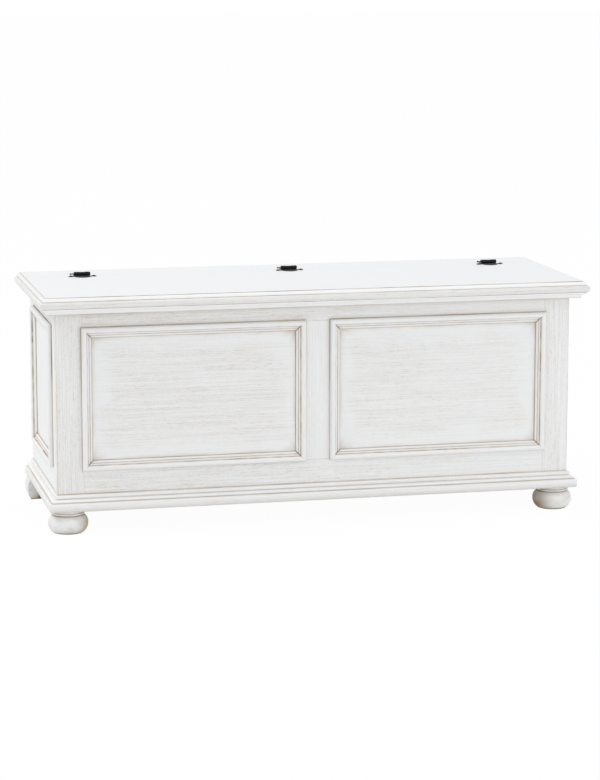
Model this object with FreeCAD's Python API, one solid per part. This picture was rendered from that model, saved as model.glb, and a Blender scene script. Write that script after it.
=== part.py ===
"""White painted blanket chest: framed and panelled case on feet, with a hinged lid. Millimetres, +Z up.

The origin is on the floor, under the middle of the whole chest. The front faces -Y.
"""
import FreeCAD
import Part
import math
import os

Vector = FreeCAD.Vector

# Case, outside sizes of the framed box
body_width = 1130.0
body_depth = 404.0
body_height = 416.0
foot_height = 50.0

# Overhangs of the top and the base beyond the framed box
lid_overhang = 35.0
base_overhang = 18.5

# Framed walls
frame_thick = 24.0
front_stile_width = 56.5
front_muntin_width = 58.0
side_front_stile_width = 33.0
side_rear_stile_width = 58.0
top_rail_height = 46.0
bottom_rail_height = 68.0
corner_round = 1.6
groove_width = 10.0
groove_depth = 9.0
groove_setback = 2.0
panel_end_gap = 1.0

# Mouldings planted round each panel
moulding_width = 21.0
moulding_lap = 2.0
moulding_rise = 10.0
moulding_edge = 3.0
moulding_rabbet_gap = 0.2
moulding_round_width = 11.5
moulding_round_fall = 5.0
moulding_quirk = 1.0
moulding_flat_width = 4.4
moulding_flat_fall = 1.2
moulding_bead_rise = 2.2
moulding_crown_share = 0.42
moulding_bead_share = 0.55

# Base frame and its cap moulding
base_thick = 19.0
base_board_width = 90.0
base_edge_round_top = 5.0
base_edge_round_bottom = 3.5
cap_height = 15.5
cap_bead_out = 5.8
cap_bead_height = 8.3
cap_quirk = 0.9
cap_cove_out = 10.4
cap_cove_low = 4.6
cap_foot_out = 12.8
cap_foot_edge = 2.6

# Turned front feet
bun_radius = 43.0
bun_widest = 21.5
bun_rest_radius = 32.0
bun_shoulder_radius = 32.5
bun_collar_height = 6.2
bun_neck_height = 0.8
bun_ring_radius = 35.5
bun_ring_round = 2.0
foot_edge_margin = 0.5

# Sawn rear feet
rear_foot_thick = 48.0
rear_foot_rest_half = 37.0
rear_foot_bulge_half = 43.5
rear_foot_neck_half = 35.0
rear_foot_widest = 24.0

# Dowels that pin the feet to the base
foot_dowel_radius = 6.0
foot_dowel_in_foot = 26.0
foot_dowel_in_base = 14.0

# Floor
cleat_width = 18.0
cleat_height = 18.0
floor_thick = 12.0
floor_board_count = 4
floor_board_gap = 1.0
floor_end_gap = 0.5

# Back boards
back_thick = 18.0
back_rebate = 10.0
back_board_count = 3
back_chamfer = 2.0

# Top: fixed rear rail and hinged lid
lid_thick = 24.0
seam_gap = 0.8
hinge_setback = 95.0
ovolo_radius = 7.0
ovolo_step = 0.9
quirk_depth = 0.9
quirk_height = 0.9
nose_foot = 0.3
nose_depth = 6.5
nose_shoulder = 5.0
cove_height = 13.0
cove_top_inset = 4.6
cove_fillet = 1.8
cove_foot_out = 19.8
cove_foot_round = 2.4
cove_bend_share = 0.4
lid_cove_clearance = 1.0
batten_width = 44.0
batten_thick = 18.0
batten_front_gap = 9.0
batten_rear_gap = 6.0
batten_side_inset = 150.0
batten_round = 3.0

# Hinges
hinge_end_inset = 132.0
hinge_shift = 6.0
barrel_radius = 4.4
barrel_length = 35.0
middle_knuckle_step = 0.4
middle_knuckle_length = 12.0
knuckle_gap = 0.3
barrel_lift = 0.3
pin_radius = 2.0
pin_clearance = 0.05
finial_radius = 1.8
finial_neck_radius = 1.2
finial_neck = 6.0
pin_tail = 1.4
pin_tail_radius = 3.1
leaf_thick = 1.3
leaf_reach = 31.0
leaf_straight = 13.0
leaf_barrel_gap = 0.6
wing_half_span = 31.0
wing_radius = 5.6
wing_arm = 6.0
wing_setback = 10.5
screw_head_radius = 3.6
screw_head_height = 1.7
screw_radius = 1.7
screw_length = 14.0
screw_hole_gap = 0.2
tongue_screw_setback = 24.0
rail_screw_spread = 10.5

# Cutters reach this far past what they cut
overrun = 5.0

# Heights
base_low = foot_height
base_top = base_low + base_thick
body_top = base_top + body_height
cove_low = body_top - cove_height
lid_top = body_top + lid_thick

# Plan: the lid overhangs the front only, so the box stands behind the middle of the chest
half_width = body_width / 2
front_y = -body_depth / 2 + lid_overhang / 2
back_y = front_y + body_depth
axis_y = back_y - hinge_setback
axis_z = lid_top + barrel_radius + barrel_lift
hinge_pitch = half_width + lid_overhang - hinge_end_inset
inner_front_y = front_y + frame_thick
inner_half_width = half_width - frame_thick
stile_gap = half_width - front_stile_width
muntin_half = front_muntin_width / 2
open_front = inner_front_y + side_front_stile_width
open_rear = back_y - side_rear_stile_width
opening_low = base_top + bottom_rail_height
opening_high = body_top - top_rail_height
slot_back = groove_setback + groove_width
panel_reach = groove_depth - panel_end_gap
foot_edge_inset = bun_radius + foot_edge_margin

X_AXIS = Vector(1, 0, 0)
Y_AXIS = Vector(0, 1, 0)
Z_AXIS = Vector(0, 0, 1)


def block(x_span, y_span, z_span):
    """A box over three spans, each given in either order."""
    low = Vector(min(x_span), min(y_span), min(z_span))
    size = Vector(max(x_span), max(y_span), max(z_span)) - low
    return Part.makeBox(size.x, size.y, size.z, low)


def outline(start, *steps):
    """A flat face in the local XY plane. A step is an end point, or a point on an arc and its end point."""
    edges = []
    here = Vector(*start, 0)
    for step in steps:
        if isinstance(step[0], tuple):
            middle, end = Vector(*step[0], 0), Vector(*step[1], 0)
            edges.append(Part.Arc(here, middle, end).toShape())
        else:
            end = Vector(*step, 0)
            edges.append(Part.LineSegment(here, end).toShape())
        here = end
    if here != Vector(*start, 0):
        edges.append(Part.LineSegment(here, Vector(*start, 0)).toShape())
    return Part.Face(Part.Wire(edges))


def arc_about(centre, radius, start_deg, end_deg):
    """The middle and the end point of an arc given by its centre, radius and angles."""
    points = []
    for angle in ((start_deg + end_deg) / 2, end_deg):
        turn = math.radians(angle)
        points.append((centre[0] + radius * math.cos(turn), centre[1] + radius * math.sin(turn)))
    return tuple(points)


def placed(shape, origin, along, across, up):
    """The shape moved so that its X, Y and Z run along the three given directions."""
    matrix = FreeCAD.Matrix(
        along.x, across.x, up.x, origin.x,
        along.y, across.y, up.y, origin.y,
        along.z, across.z, up.z, origin.z,
        0, 0, 0, 1)
    moved = shape.copy()
    moved.transformShape(matrix)
    return moved


def run_of_profile(profile, length, inside, outside, start_mitre, end_mitre):
    """A profile in (out, up) pulled along local X, with mitred or square ends."""
    reach = max(inside, outside) + overrun
    bar = placed(profile, Vector(-reach, 0, 0), Y_AXIS, Z_AXIS, X_AXIS)
    bar = bar.extrude(Vector(length + reach + reach, 0, 0))
    start = 1 if start_mitre else 0
    end = 1 if end_mitre else 0
    trim = outline(
        (start * inside, -inside),
        (length - end * inside, -inside),
        (length + end * outside, outside),
        (-start * outside, outside))
    box = bar.BoundBox
    trim.translate(Vector(0, 0, box.ZMin - overrun))
    return bar.common(trim.extrude(Vector(0, 0, box.ZLength + overrun + overrun))).Solids[0]


def around_case(profile, inside, outside, level, rear_y):
    """Front, left and right runs of a profile round the case, mitred at the front corners."""
    side_length = rear_y - front_y
    front = run_of_profile(profile, body_width, inside, outside, True, True)
    left = run_of_profile(profile, side_length, inside, outside, True, False)
    right = run_of_profile(profile, side_length, inside, outside, False, True)
    return (
        placed(front, Vector(half_width, front_y, level), -X_AXIS, -Y_AXIS, Z_AXIS),
        placed(left, Vector(-half_width, front_y, level), Y_AXIS, -X_AXIS, Z_AXIS),
        placed(right, Vector(half_width, rear_y, level), -Y_AXIS, X_AXIS, Z_AXIS))


def base_profile():
    """Section of a base board: out from the case face, and up."""
    high, low = base_edge_round_top, base_edge_round_bottom
    edge = base_overhang
    return outline(
        (-base_board_width + edge, 0),
        (edge - low, 0),
        arc_about((edge - low, low), low, -90, 0),
        (edge, base_thick - high),
        arc_about((edge - high, base_thick - high), high, 0, 90),
        (-base_board_width + edge, base_thick))


def cap_profile():
    """Section of the moulding that caps the base: a bead over a hollow and a small round foot."""
    bead_low = cap_height - cap_bead_height
    bead_radius = cap_bead_height / 2
    bead_centre = (cap_bead_out - bead_radius, cap_height - bead_radius)
    hollow = (cap_cove_out - cap_quirk, bead_low - cap_quirk)
    foot_round = (cap_cove_low - cap_foot_edge) / 2
    return outline(
        (0, 0),
        (cap_foot_out - cap_quirk, 0),
        (cap_foot_out, cap_quirk),
        (cap_foot_out, cap_foot_edge),
        arc_about((cap_foot_out - foot_round, cap_foot_edge + foot_round / 2), foot_round, -30, 120),
        (cap_cove_out, cap_cove_low),
        ((cap_bead_out + cap_quirk, (bead_low + cap_cove_low) / 2), (cap_bead_out - cap_quirk, hollow[1])),
        (bead_centre[0], bead_low),
        arc_about(bead_centre, bead_radius, -90, 90),
        (0, cap_height))


def cove_profile(inner):
    """Section of the hollow moulding under the top, from its inner face outwards."""
    out = lid_overhang - cove_top_inset
    hollow_rise = cove_height - cove_fillet - cove_foot_round
    hollow_run = out - cove_foot_out
    middle = (
        cove_foot_out + hollow_run * cove_bend_share,
        cove_foot_round + hollow_rise * (1 - cove_bend_share))
    return outline(
        (inner, 0),
        (cove_foot_out - cove_foot_round, 0),
        arc_about((cove_foot_out - cove_foot_round, cove_foot_round), cove_foot_round, -90, 0),
        (middle, (out, cove_height - cove_fillet)),
        (out, cove_height),
        (inner, cove_height))


def mirrored(step, sign):
    """A step of an outline, turned to the other side when sign is -1."""
    if isinstance(step[0], tuple):
        return tuple((sign * x, z) for x, z in step)
    return sign * step[0], step[1]


def top_edge_steps(edge, sign):
    """Steps of the top's moulded edge from its underside up, for an edge that faces along sign."""
    nose_out = edge - nose_depth
    nose_low = body_top + nose_foot
    shoulder = nose_out + quirk_depth
    ovolo_in = shoulder - ovolo_radius
    ovolo_z = lid_top - ovolo_step - ovolo_radius
    quirk_low = ovolo_z - quirk_height
    round_z = quirk_low - nose_shoulder
    steps = [
        (nose_out - quirk_depth, body_top),
        (nose_out - quirk_depth, nose_low),
        (nose_out, nose_low),
        arc_about((nose_out, nose_low + nose_depth), nose_depth, -90, 0),
        (edge, round_z),
        arc_about((edge - nose_shoulder, round_z), nose_shoulder, 0, 90),
        (nose_out - quirk_depth, quirk_low),
        (nose_out - quirk_depth, ovolo_z),
        (shoulder, ovolo_z),
        arc_about((ovolo_in, ovolo_z), ovolo_radius, 0, 90),
        (ovolo_in, lid_top)]
    return [mirrored(step, sign) for step in steps]


def reversed_steps(steps):
    """The same outline walked the other way, as a start point and its steps."""
    ends = [step[1] if isinstance(step[0], tuple) else step for step in steps]
    start = ends[-1]
    walked = []
    for index in range(len(steps) - 1, 0, -1):
        before = ends[index - 1]
        if isinstance(steps[index][0], tuple):
            walked.append((steps[index][0], before))
        else:
            walked.append(before)
    return [start] + walked


def moulded_slab(low_y, high_y):
    """The top's full width with both ends moulded, between two depths."""
    left = top_edge_steps(half_width + lid_overhang, -1)
    right = reversed_steps(top_edge_steps(half_width + lid_overhang, 1))
    face = outline(left[0], *left[1:], *right)
    slab = placed(face, Vector(0, high_y, 0), X_AXIS, Z_AXIS, -Y_AXIS)
    return slab.extrude(Vector(0, low_y - high_y, 0))


def hinge_places():
    """Middle of each hinge along X."""
    return [hinge_shift + row * hinge_pitch for row in (-1, 0, 1)]


def screw_places(centre_x, side):
    """Where a hinge leaf is screwed down; side is -1 on the lid and 1 on the rear rail."""
    spread = rail_screw_spread if side > 0 else wing_half_span - wing_radius
    return [
        (centre_x - spread, axis_y + side * wing_setback),
        (centre_x + spread, axis_y + side * wing_setback),
        (centre_x, axis_y + side * tongue_screw_setback)]


def screw_holes(side):
    """Drillings for the hinge screws in the lid or in the rear rail."""
    depth = screw_length + overrun
    holes = []
    for centre_x in hinge_places():
        for x, y in screw_places(centre_x, side):
            holes.append(Part.makeCylinder(screw_radius, depth, Vector(x, y, lid_top - screw_length)))
    return holes


def lid_board():
    """The hinged part of the top, moulded on its front and both ends."""
    slab = moulded_slab(front_y - lid_overhang, axis_y - seam_gap / 2)
    front = top_edge_steps(-front_y + lid_overhang, -1)
    rear_y = axis_y + overrun
    face = outline(front[0], *front[1:], (rear_y, lid_top), (rear_y, body_top))
    reach = half_width + lid_overhang + overrun
    bar = placed(face, Vector(-reach, 0, 0), Y_AXIS, Z_AXIS, X_AXIS).extrude(Vector(reach + reach, 0, 0))
    return slab.common(bar).cut(screw_holes(-1)).Solids[0]


def top_rear_rail():
    """The fixed rear strip of the top, moulded on its ends."""
    return moulded_slab(axis_y + seam_gap / 2, back_y).cut(screw_holes(1)).Solids[0]


def lid_coves():
    """Hollow mouldings that hang under the lid and lap over the case."""
    rear_y = axis_y - seam_gap / 2
    return around_case(cove_profile(lid_cove_clearance), 0, lid_overhang, cove_low, rear_y)


def rail_coves():
    """The two short lengths of the same moulding under the ends of the rear rail."""
    start_y = axis_y + seam_gap / 2
    bar = run_of_profile(cove_profile(0), back_y - start_y, 0, lid_overhang, False, False)
    left = placed(bar, Vector(-half_width, start_y, cove_low), Y_AXIS, -X_AXIS, Z_AXIS)
    right = placed(bar, Vector(half_width, back_y, cove_low), -Y_AXIS, X_AXIS, Z_AXIS)
    return left, right


def lid_batten(centre_x):
    """A cross batten under the lid that keeps it flat."""
    half = batten_width / 2
    batten = block(
        (centre_x - half, centre_x + half),
        (inner_front_y + batten_front_gap, axis_y - batten_rear_gap),
        (body_top - batten_thick, body_top))
    lower = [edge for edge in batten.Edges if edge.BoundBox.ZMax < body_top - batten_thick / 2]
    return batten.makeFillet(batten_round, lower)


def rounded_corner(stile, corner_x, corner_y):
    """The stile with its upright edge at one outside corner of the case rounded."""
    edges = [edge for edge in stile.Edges
             if edge.BoundBox.ZLength > body_height / 2
             and abs(edge.BoundBox.XMin - corner_x) < corner_round
             and abs(edge.BoundBox.YMin - corner_y) < corner_round]
    return stile.makeFillet(corner_round, edges)


def front_stile(sign):
    """A corner post of the front, grooved along its inner edge."""
    stile = block((sign * half_width, sign * stile_gap), (front_y, inner_front_y), (base_top, body_top))
    stile = rounded_corner(stile, sign * half_width, front_y)
    return stile.cut(block(
        (sign * stile_gap, sign * (stile_gap + groove_depth)),
        (front_y + groove_setback, front_y + slot_back),
        (base_top - overrun, body_top + overrun)))


def front_rail(z_span, groove_span):
    """A rail across the front, tenoned into the stiles and grooved for the panels."""
    reach = stile_gap + groove_depth
    tenon_y = (front_y + groove_setback, front_y + slot_back)
    rail = block((-stile_gap, stile_gap), (front_y, inner_front_y), z_span)
    rail = rail.fuse(block((-reach, reach), tenon_y, z_span)).removeSplitter()
    return rail.cut(block((-reach, reach), tenon_y, groove_span))


def front_muntin():
    """The upright between the two front panels."""
    tenon_y = (front_y + groove_setback, front_y + slot_back)
    tenon_z = (opening_low - groove_depth, opening_high + groove_depth)
    muntin = block((-muntin_half, muntin_half), (front_y, inner_front_y), (opening_low, opening_high))
    muntin = muntin.fuse(block((-muntin_half, muntin_half), tenon_y, tenon_z)).removeSplitter()
    for sign in (-1, 1):
        muntin = muntin.cut(block(
            (sign * muntin_half, sign * (muntin_half - groove_depth)),
            tenon_y,
            (tenon_z[0] - overrun, tenon_z[1] + overrun)))
    return muntin


def front_panel(sign):
    """A flat panel between a stile and the muntin."""
    return block(
        (sign * (muntin_half - panel_reach), sign * (stile_gap + panel_reach)),
        (front_y + groove_setback, front_y + slot_back),
        (opening_low - panel_reach, opening_high + panel_reach))


def front_frame():
    """Stiles, rails, muntin and panels of the front."""
    return {
        "front_stile_left": front_stile(-1),
        "front_stile_right": front_stile(1),
        "front_bottom_rail": front_rail((base_top, opening_low), (opening_low - groove_depth, opening_low)),
        "front_top_rail": front_rail((opening_high, body_top), (opening_high, opening_high + groove_depth)),
        "front_muntin": front_muntin(),
        "front_panel_left": front_panel(-1),
        "front_panel_right": front_panel(1)}


def side_span(sign, near, far):
    """Span along X through a side wall, between two depths behind its outer face."""
    return sign * (half_width - near), sign * (half_width - far)


def side_front_stile(sign):
    """The stile behind the front's corner post."""
    stile = block(side_span(sign, 0, frame_thick), (inner_front_y, open_front), (base_top, body_top))
    return stile.cut(block(
        side_span(sign, groove_setback, slot_back),
        (open_front - groove_depth, open_front),
        (base_top - overrun, body_top + overrun)))


def side_rear_stile(sign):
    """The rear stile, rebated for the back boards."""
    height = (base_top - overrun, body_top + overrun)
    stile = block(side_span(sign, 0, frame_thick), (open_rear, back_y), (base_top, body_top))
    stile = rounded_corner(stile, sign * half_width, back_y)
    slot = block(side_span(sign, groove_setback, slot_back), (open_rear, open_rear + groove_depth), height)
    rebate = block(
        side_span(sign, frame_thick - back_rebate, frame_thick + overrun),
        (back_y - back_thick, back_y + overrun),
        height)
    return stile.cut([slot, rebate])


def side_rail(sign, z_span, groove_span):
    """A rail of an end wall, tenoned into its stiles and grooved for the panel."""
    reach = (open_front - groove_depth, open_rear + groove_depth)
    tenon_x = side_span(sign, groove_setback, slot_back)
    rail = block(side_span(sign, 0, frame_thick), (open_front, open_rear), z_span)
    rail = rail.fuse(block(tenon_x, reach, z_span)).removeSplitter()
    return rail.cut(block(tenon_x, reach, groove_span))


def side_frame(side, sign):
    """One end of the case: two stiles, two rails and a panel."""
    low_groove = (opening_low - groove_depth, opening_low)
    high_groove = (opening_high, opening_high + groove_depth)
    return {
        side + "_front_stile": side_front_stile(sign),
        side + "_rear_stile": side_rear_stile(sign),
        side + "_bottom_rail": side_rail(sign, (base_top, opening_low), low_groove),
        side + "_top_rail": side_rail(sign, (opening_high, body_top), high_groove),
        side + "_panel": block(
            side_span(sign, groove_setback, slot_back),
            (open_front - panel_reach, open_rear + panel_reach),
            (opening_low - panel_reach, opening_high + panel_reach))}


def moulding_profile():
    """Section of the panel moulding: in from its outer edge, and out from the frame face."""
    round_end = moulding_rise - moulding_round_fall
    flat_start = moulding_round_width
    flat_end = flat_start + moulding_flat_width
    flat_z = round_end - moulding_quirk
    bead_low = flat_z - moulding_flat_fall - moulding_quirk
    bead_width = moulding_width - flat_end
    rabbet = moulding_lap + moulding_rabbet_gap
    return outline(
        (0, 0),
        (rabbet, 0),
        (rabbet, -groove_setback),
        (moulding_width, -groove_setback),
        (moulding_width, bead_low - moulding_bead_rise),
        ((flat_end + bead_width * moulding_bead_share, bead_low + moulding_bead_rise / 2),
         (flat_end, bead_low)),
        (flat_end, flat_z - moulding_flat_fall),
        (flat_start, flat_z),
        (flat_start, round_end),
        ((moulding_round_width * moulding_crown_share, moulding_rise), (0, moulding_edge)))


def panel_moulding(corner, run, width, height):
    """Four mitred lengths round one panel; corner is the moulding's lower starting corner on the frame face."""
    profile = moulding_profile()
    normal = run.cross(Z_AXIS)
    pieces = []
    start = corner
    direction, inward = run, Z_AXIS
    for length in (width, height, width, height):
        bar = placed(profile, Vector(-overrun, 0, 0), Y_AXIS, Z_AXIS, X_AXIS)
        bar = bar.extrude(Vector(length + overrun + overrun, 0, 0))
        trim = outline(
            (0, 0),
            (length, 0),
            (length - moulding_width, moulding_width),
            (moulding_width, moulding_width))
        trim.translate(Vector(0, 0, -groove_setback - overrun))
        depth = groove_setback + moulding_rise + overrun + overrun
        bar = bar.common(trim.extrude(Vector(0, 0, depth))).Solids[0]
        pieces.append(placed(bar, start, direction, inward, normal))
        start = start + direction * length
        direction, inward = inward, -direction
    return Part.makeCompound(pieces)


def panel_mouldings():
    """The moulding frames of the two front panels and of the two end panels."""
    low = opening_low - moulding_lap
    height = opening_high + moulding_lap - low
    near = muntin_half - moulding_lap
    front_width = stile_gap + moulding_lap - near
    side_front = open_front - moulding_lap
    side_rear = open_rear + moulding_lap
    side_width = side_rear - side_front
    return {
        "front_left_moulding": panel_moulding(
            Vector(-near - front_width, front_y, low), X_AXIS, front_width, height),
        "front_right_moulding": panel_moulding(Vector(near, front_y, low), X_AXIS, front_width, height),
        "left_moulding": panel_moulding(
            Vector(-half_width, side_rear, low), -Y_AXIS, side_width, height),
        "right_moulding": panel_moulding(
            Vector(half_width, side_front, low), Y_AXIS, side_width, height)}


def back_boards():
    """Horizontal boards let into rebates in the rear stiles, with a small bevel at each joint."""
    reach = inner_half_width + back_rebate
    board_height = body_height / back_board_count
    boards = []
    for index in range(back_board_count):
        low = base_top + index * board_height
        board = block((-reach, reach), (back_y - back_thick, back_y), (low, low + board_height))
        outer = [edge for edge in board.Edges
                 if edge.BoundBox.YMin > back_y - back_chamfer and edge.BoundBox.XLength > reach]
        boards.append(board.makeChamfer(back_chamfer, outer))
    return boards


def floor_pieces():
    """Cleats along the front and the back, and the loose floor boards that lie on them."""
    cleat_top = base_top + cleat_height
    rear_wall = back_y - back_thick
    width = (-inner_half_width, inner_half_width)
    front_cleat = block(width, (inner_front_y, inner_front_y + cleat_width), (base_top, cleat_top))
    rear_cleat = block(width, (rear_wall - cleat_width, rear_wall), (base_top, cleat_top))
    start = -inner_half_width + floor_end_gap
    board_length = (-2 * start - (floor_board_count - 1) * floor_board_gap) / floor_board_count
    boards = []
    for _ in range(floor_board_count):
        boards.append(block(
            (start, start + board_length),
            (inner_front_y + floor_end_gap, rear_wall - floor_end_gap),
            (cleat_top, cleat_top + floor_thick)))
        start += board_length + floor_board_gap
    return front_cleat, rear_cleat, Part.makeCompound(boards)


def foot_places():
    """Middle of each foot in plan, by name."""
    x = half_width + base_overhang - foot_edge_inset
    front = front_y - base_overhang + foot_edge_inset
    rear = back_y - rear_foot_thick / 2
    return {
        "front_left": (-x, front),
        "front_right": (x, front),
        "rear_left": (-x, rear),
        "rear_right": (x, rear)}


def base_boards():
    """The frame that the case stands on: three moulded boards and a plain one across the back."""
    inside = base_board_width - base_overhang
    front, left, right = around_case(base_profile(), inside, base_overhang, base_low, back_y)
    side_inner = half_width - inside
    back = block((-side_inner, side_inner), (back_y - inside, back_y), (base_low, base_top))
    boards = {"base_front": front, "base_left": left, "base_right": right, "base_back": back}
    for x, y in foot_places().values():
        hole = Part.makeCylinder(foot_dowel_radius, foot_dowel_in_base, Vector(x, y, base_low))
        for name in boards:
            boards[name] = boards[name].cut(hole)
    return boards


def arc_to_widest(rest, widest):
    """Radius of the arc from a point to the widest point, upright there."""
    fall = abs(widest[1] - rest[1])
    inset = widest[0] - rest[0]
    return (inset * inset + fall * fall) / (2 * inset)


def swelling(rest, widest):
    """A point half way along the arc between a resting point and the widest point."""
    radius = arc_to_widest(rest, widest)
    centre_x = widest[0] - radius
    turn = math.asin((rest[1] - widest[1]) / radius) / 2
    return centre_x + radius * math.cos(turn), widest[1] + radius * math.sin(turn)


def foot_dowel_hole(x, y):
    """Blind hole for the dowel in the top of a foot."""
    return Part.makeCylinder(
        foot_dowel_radius, foot_dowel_in_foot, Vector(x, y, foot_height - foot_dowel_in_foot))


def bun_foot(x, y):
    """A turned foot with a thin ring under its collar."""
    widest = (bun_radius, bun_widest)
    rest = (bun_rest_radius, 0)
    ring_top = foot_height - bun_collar_height
    ring_middle = ring_top - bun_ring_round
    ring_low = ring_middle - bun_ring_round
    ring_inner = bun_ring_radius - bun_ring_round
    shoulder = (bun_shoulder_radius, ring_low - bun_neck_height)
    half = outline(
        (0, 0),
        rest,
        (swelling(rest, widest), widest),
        (swelling(shoulder, widest), shoulder),
        (bun_shoulder_radius, ring_low),
        (ring_inner, ring_low),
        arc_about((ring_inner, ring_middle), bun_ring_round, -90, 90),
        (bun_shoulder_radius, ring_top),
        (bun_shoulder_radius, foot_height),
        (0, foot_height))
    half.rotate(Vector(0, 0, 0), X_AXIS, 90)
    foot = half.revolve(Vector(0, 0, 0), Z_AXIS, 360)
    foot.translate(Vector(x, y, 0))
    return foot.cut(foot_dowel_hole(x, y)).Solids[0]


def sawn_foot(x, y):
    """A foot sawn from thick plank, with the outline of the turned ones."""
    widest = (rear_foot_bulge_half, rear_foot_widest)
    rest = (rear_foot_rest_half, 0)
    neck = (rear_foot_neck_half, foot_height)
    low, high = swelling(rest, widest), swelling(neck, widest)
    face = outline(
        (-rest[0], 0),
        rest,
        (low, widest),
        (high, neck),
        (-neck[0], foot_height),
        ((-high[0], high[1]), (-widest[0], widest[1])),
        ((-low[0], low[1]), (-rest[0], 0)))
    face = placed(face, Vector(x, y + rear_foot_thick / 2, 0), X_AXIS, Z_AXIS, -Y_AXIS)
    return face.extrude(Vector(0, -rear_foot_thick, 0)).cut(foot_dowel_hole(x, y)).Solids[0]


def foot_dowels():
    """The four dowels that join the feet to the base."""
    length = foot_dowel_in_foot + foot_dowel_in_base
    return Part.makeCompound([
        Part.makeCylinder(foot_dowel_radius, length, Vector(x, y, foot_height - foot_dowel_in_foot))
        for x, y in foot_places().values()])


def leaf_wings():
    """The screw wings of a lid leaf: an arm across it with a round at each end."""
    spread = wing_half_span - wing_radius
    arm = block(
        (-spread, spread),
        (wing_setback - wing_arm / 2, wing_setback + wing_arm / 2),
        (0, leaf_thick))
    return arm.fuse([
        Part.makeCylinder(wing_radius, leaf_thick, Vector(x, wing_setback, 0)) for x in (-spread, spread)])


def leaf_plate(centre_x, side):
    """The flat of a hinge leaf: a rounded tongue, which on the lid has a screw wing at each side."""
    half = barrel_length / 2
    plate = outline(
        (-half, 0),
        (half, 0),
        (half, leaf_straight),
        ((0, leaf_reach), (-half, leaf_straight)))
    plate = plate.extrude(Vector(0, 0, leaf_thick))
    if side < 0:
        plate = plate.fuse(leaf_wings()).removeSplitter()
        plate.rotate(Vector(0, 0, 0), Z_AXIS, 180)
    plate.translate(Vector(centre_x, axis_y, lid_top))
    hole_radius = screw_radius + screw_hole_gap
    for x, y in screw_places(centre_x, side):
        plate = plate.cut(Part.makeCylinder(hole_radius, leaf_thick, Vector(x, y, lid_top)))
    return plate


def knuckle(start_x, end_x, radius):
    """One turn of the barrel, before it is bored."""
    return Part.makeCylinder(radius, end_x - start_x, Vector(start_x, axis_y, axis_z), X_AXIS)


def hinge_leaves(centre_x):
    """The lid leaf with the middle knuckle, and the rail leaf with the two outer ones."""
    half = barrel_length / 2
    middle = middle_knuckle_length / 2
    inner = middle + knuckle_gap
    notch = barrel_radius + leaf_barrel_gap
    outer_spans = ((centre_x - half, centre_x - inner), (centre_x + inner, centre_x + half))
    lid_leaf = leaf_plate(centre_x, -1)
    rail_leaf = leaf_plate(centre_x, 1)
    for start, end in outer_spans:
        lid_leaf = lid_leaf.cut(block(
            (start - knuckle_gap, end + knuckle_gap),
            (axis_y - notch, axis_y + overrun),
            (lid_top - overrun, axis_z)))
        rail_leaf = rail_leaf.fuse(knuckle(start, end, barrel_radius))
    rail_leaf = rail_leaf.cut(block(
        (centre_x - inner, centre_x + inner),
        (axis_y - notch, axis_y + notch),
        (lid_top - overrun, axis_z + notch)))
    middle_radius = barrel_radius - middle_knuckle_step
    lid_leaf = lid_leaf.fuse(knuckle(centre_x - middle, centre_x + middle, middle_radius))
    bore = Part.makeCylinder(
        pin_radius + pin_clearance, barrel_length + overrun + overrun,
        Vector(centre_x - half - overrun, axis_y, axis_z), X_AXIS)
    return lid_leaf.cut(bore).removeSplitter().Solids[0], rail_leaf.cut(bore).removeSplitter().Solids[0]


def hinge_pin(centre_x):
    """The pin with a ball finial at its left end and a headed right end."""
    half = barrel_length / 2
    left = centre_x - half
    right = centre_x + half
    centre = Vector(left - finial_neck - finial_radius, axis_y, axis_z)
    shaft = Part.makeCylinder(pin_radius, barrel_length, Vector(left, axis_y, axis_z), X_AXIS)
    neck = Part.makeCylinder(
        finial_neck_radius, finial_neck + finial_radius, centre, X_AXIS)
    tail = Part.makeCylinder(pin_tail_radius, pin_tail, Vector(right, axis_y, axis_z), X_AXIS)
    rim = [edge for edge in tail.Edges if edge.BoundBox.XMin > right + pin_tail / 2]
    tail = tail.makeFillet(pin_tail / 2, rim)
    return shaft.fuse([neck, Part.makeSphere(finial_radius, centre), tail]).Solids[0]


def hinge_screw(x, y):
    """A round-headed screw through a leaf into the wood."""
    head_z = lid_top + leaf_thick
    radius = (screw_head_radius ** 2 + screw_head_height ** 2) / (2 * screw_head_height)
    ball = Part.makeSphere(radius, Vector(x, y, head_z + screw_head_height - radius))
    cap = ball.common(Part.makeCylinder(screw_head_radius, screw_head_height, Vector(x, y, head_z)))
    shank = Part.makeCylinder(
        screw_radius, screw_length + leaf_thick, Vector(x, y, lid_top - screw_length))
    return cap.fuse(shank).removeSplitter().Solids[0]


def hinge_screws(side):
    """All the screws of the lid leaves, or of the rail leaves."""
    screws = []
    for centre_x in hinge_places():
        screws += [hinge_screw(x, y) for x, y in screw_places(centre_x, side)]
    return Part.makeCompound(screws)


def case_pieces():
    """Every piece that stands still."""
    pieces = {}
    pieces.update(base_boards())
    caps = around_case(cap_profile(), 0, cap_foot_out, base_top, back_y)
    for name, cap in zip(("base_cap_front", "base_cap_left", "base_cap_right"), caps):
        pieces[name] = cap
    for name, (x, y) in foot_places().items():
        make = bun_foot if name.startswith("front") else sawn_foot
        pieces["foot_" + name] = make(x, y)
    pieces["foot_dowels"] = foot_dowels()
    pieces.update(front_frame())
    for side, sign in (("left", -1), ("right", 1)):
        pieces.update(side_frame(side, sign))
    pieces.update(panel_mouldings())
    for name, board in zip(("back_board_low", "back_board_middle", "back_board_high"), back_boards()):
        pieces[name] = board
    pieces["floor_cleat_front"], pieces["floor_cleat_rear"], pieces["floor_boards"] = floor_pieces()
    pieces["top_rear_rail"] = top_rear_rail()
    pieces["rear_cove_left"], pieces["rear_cove_right"] = rail_coves()
    return pieces


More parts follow.
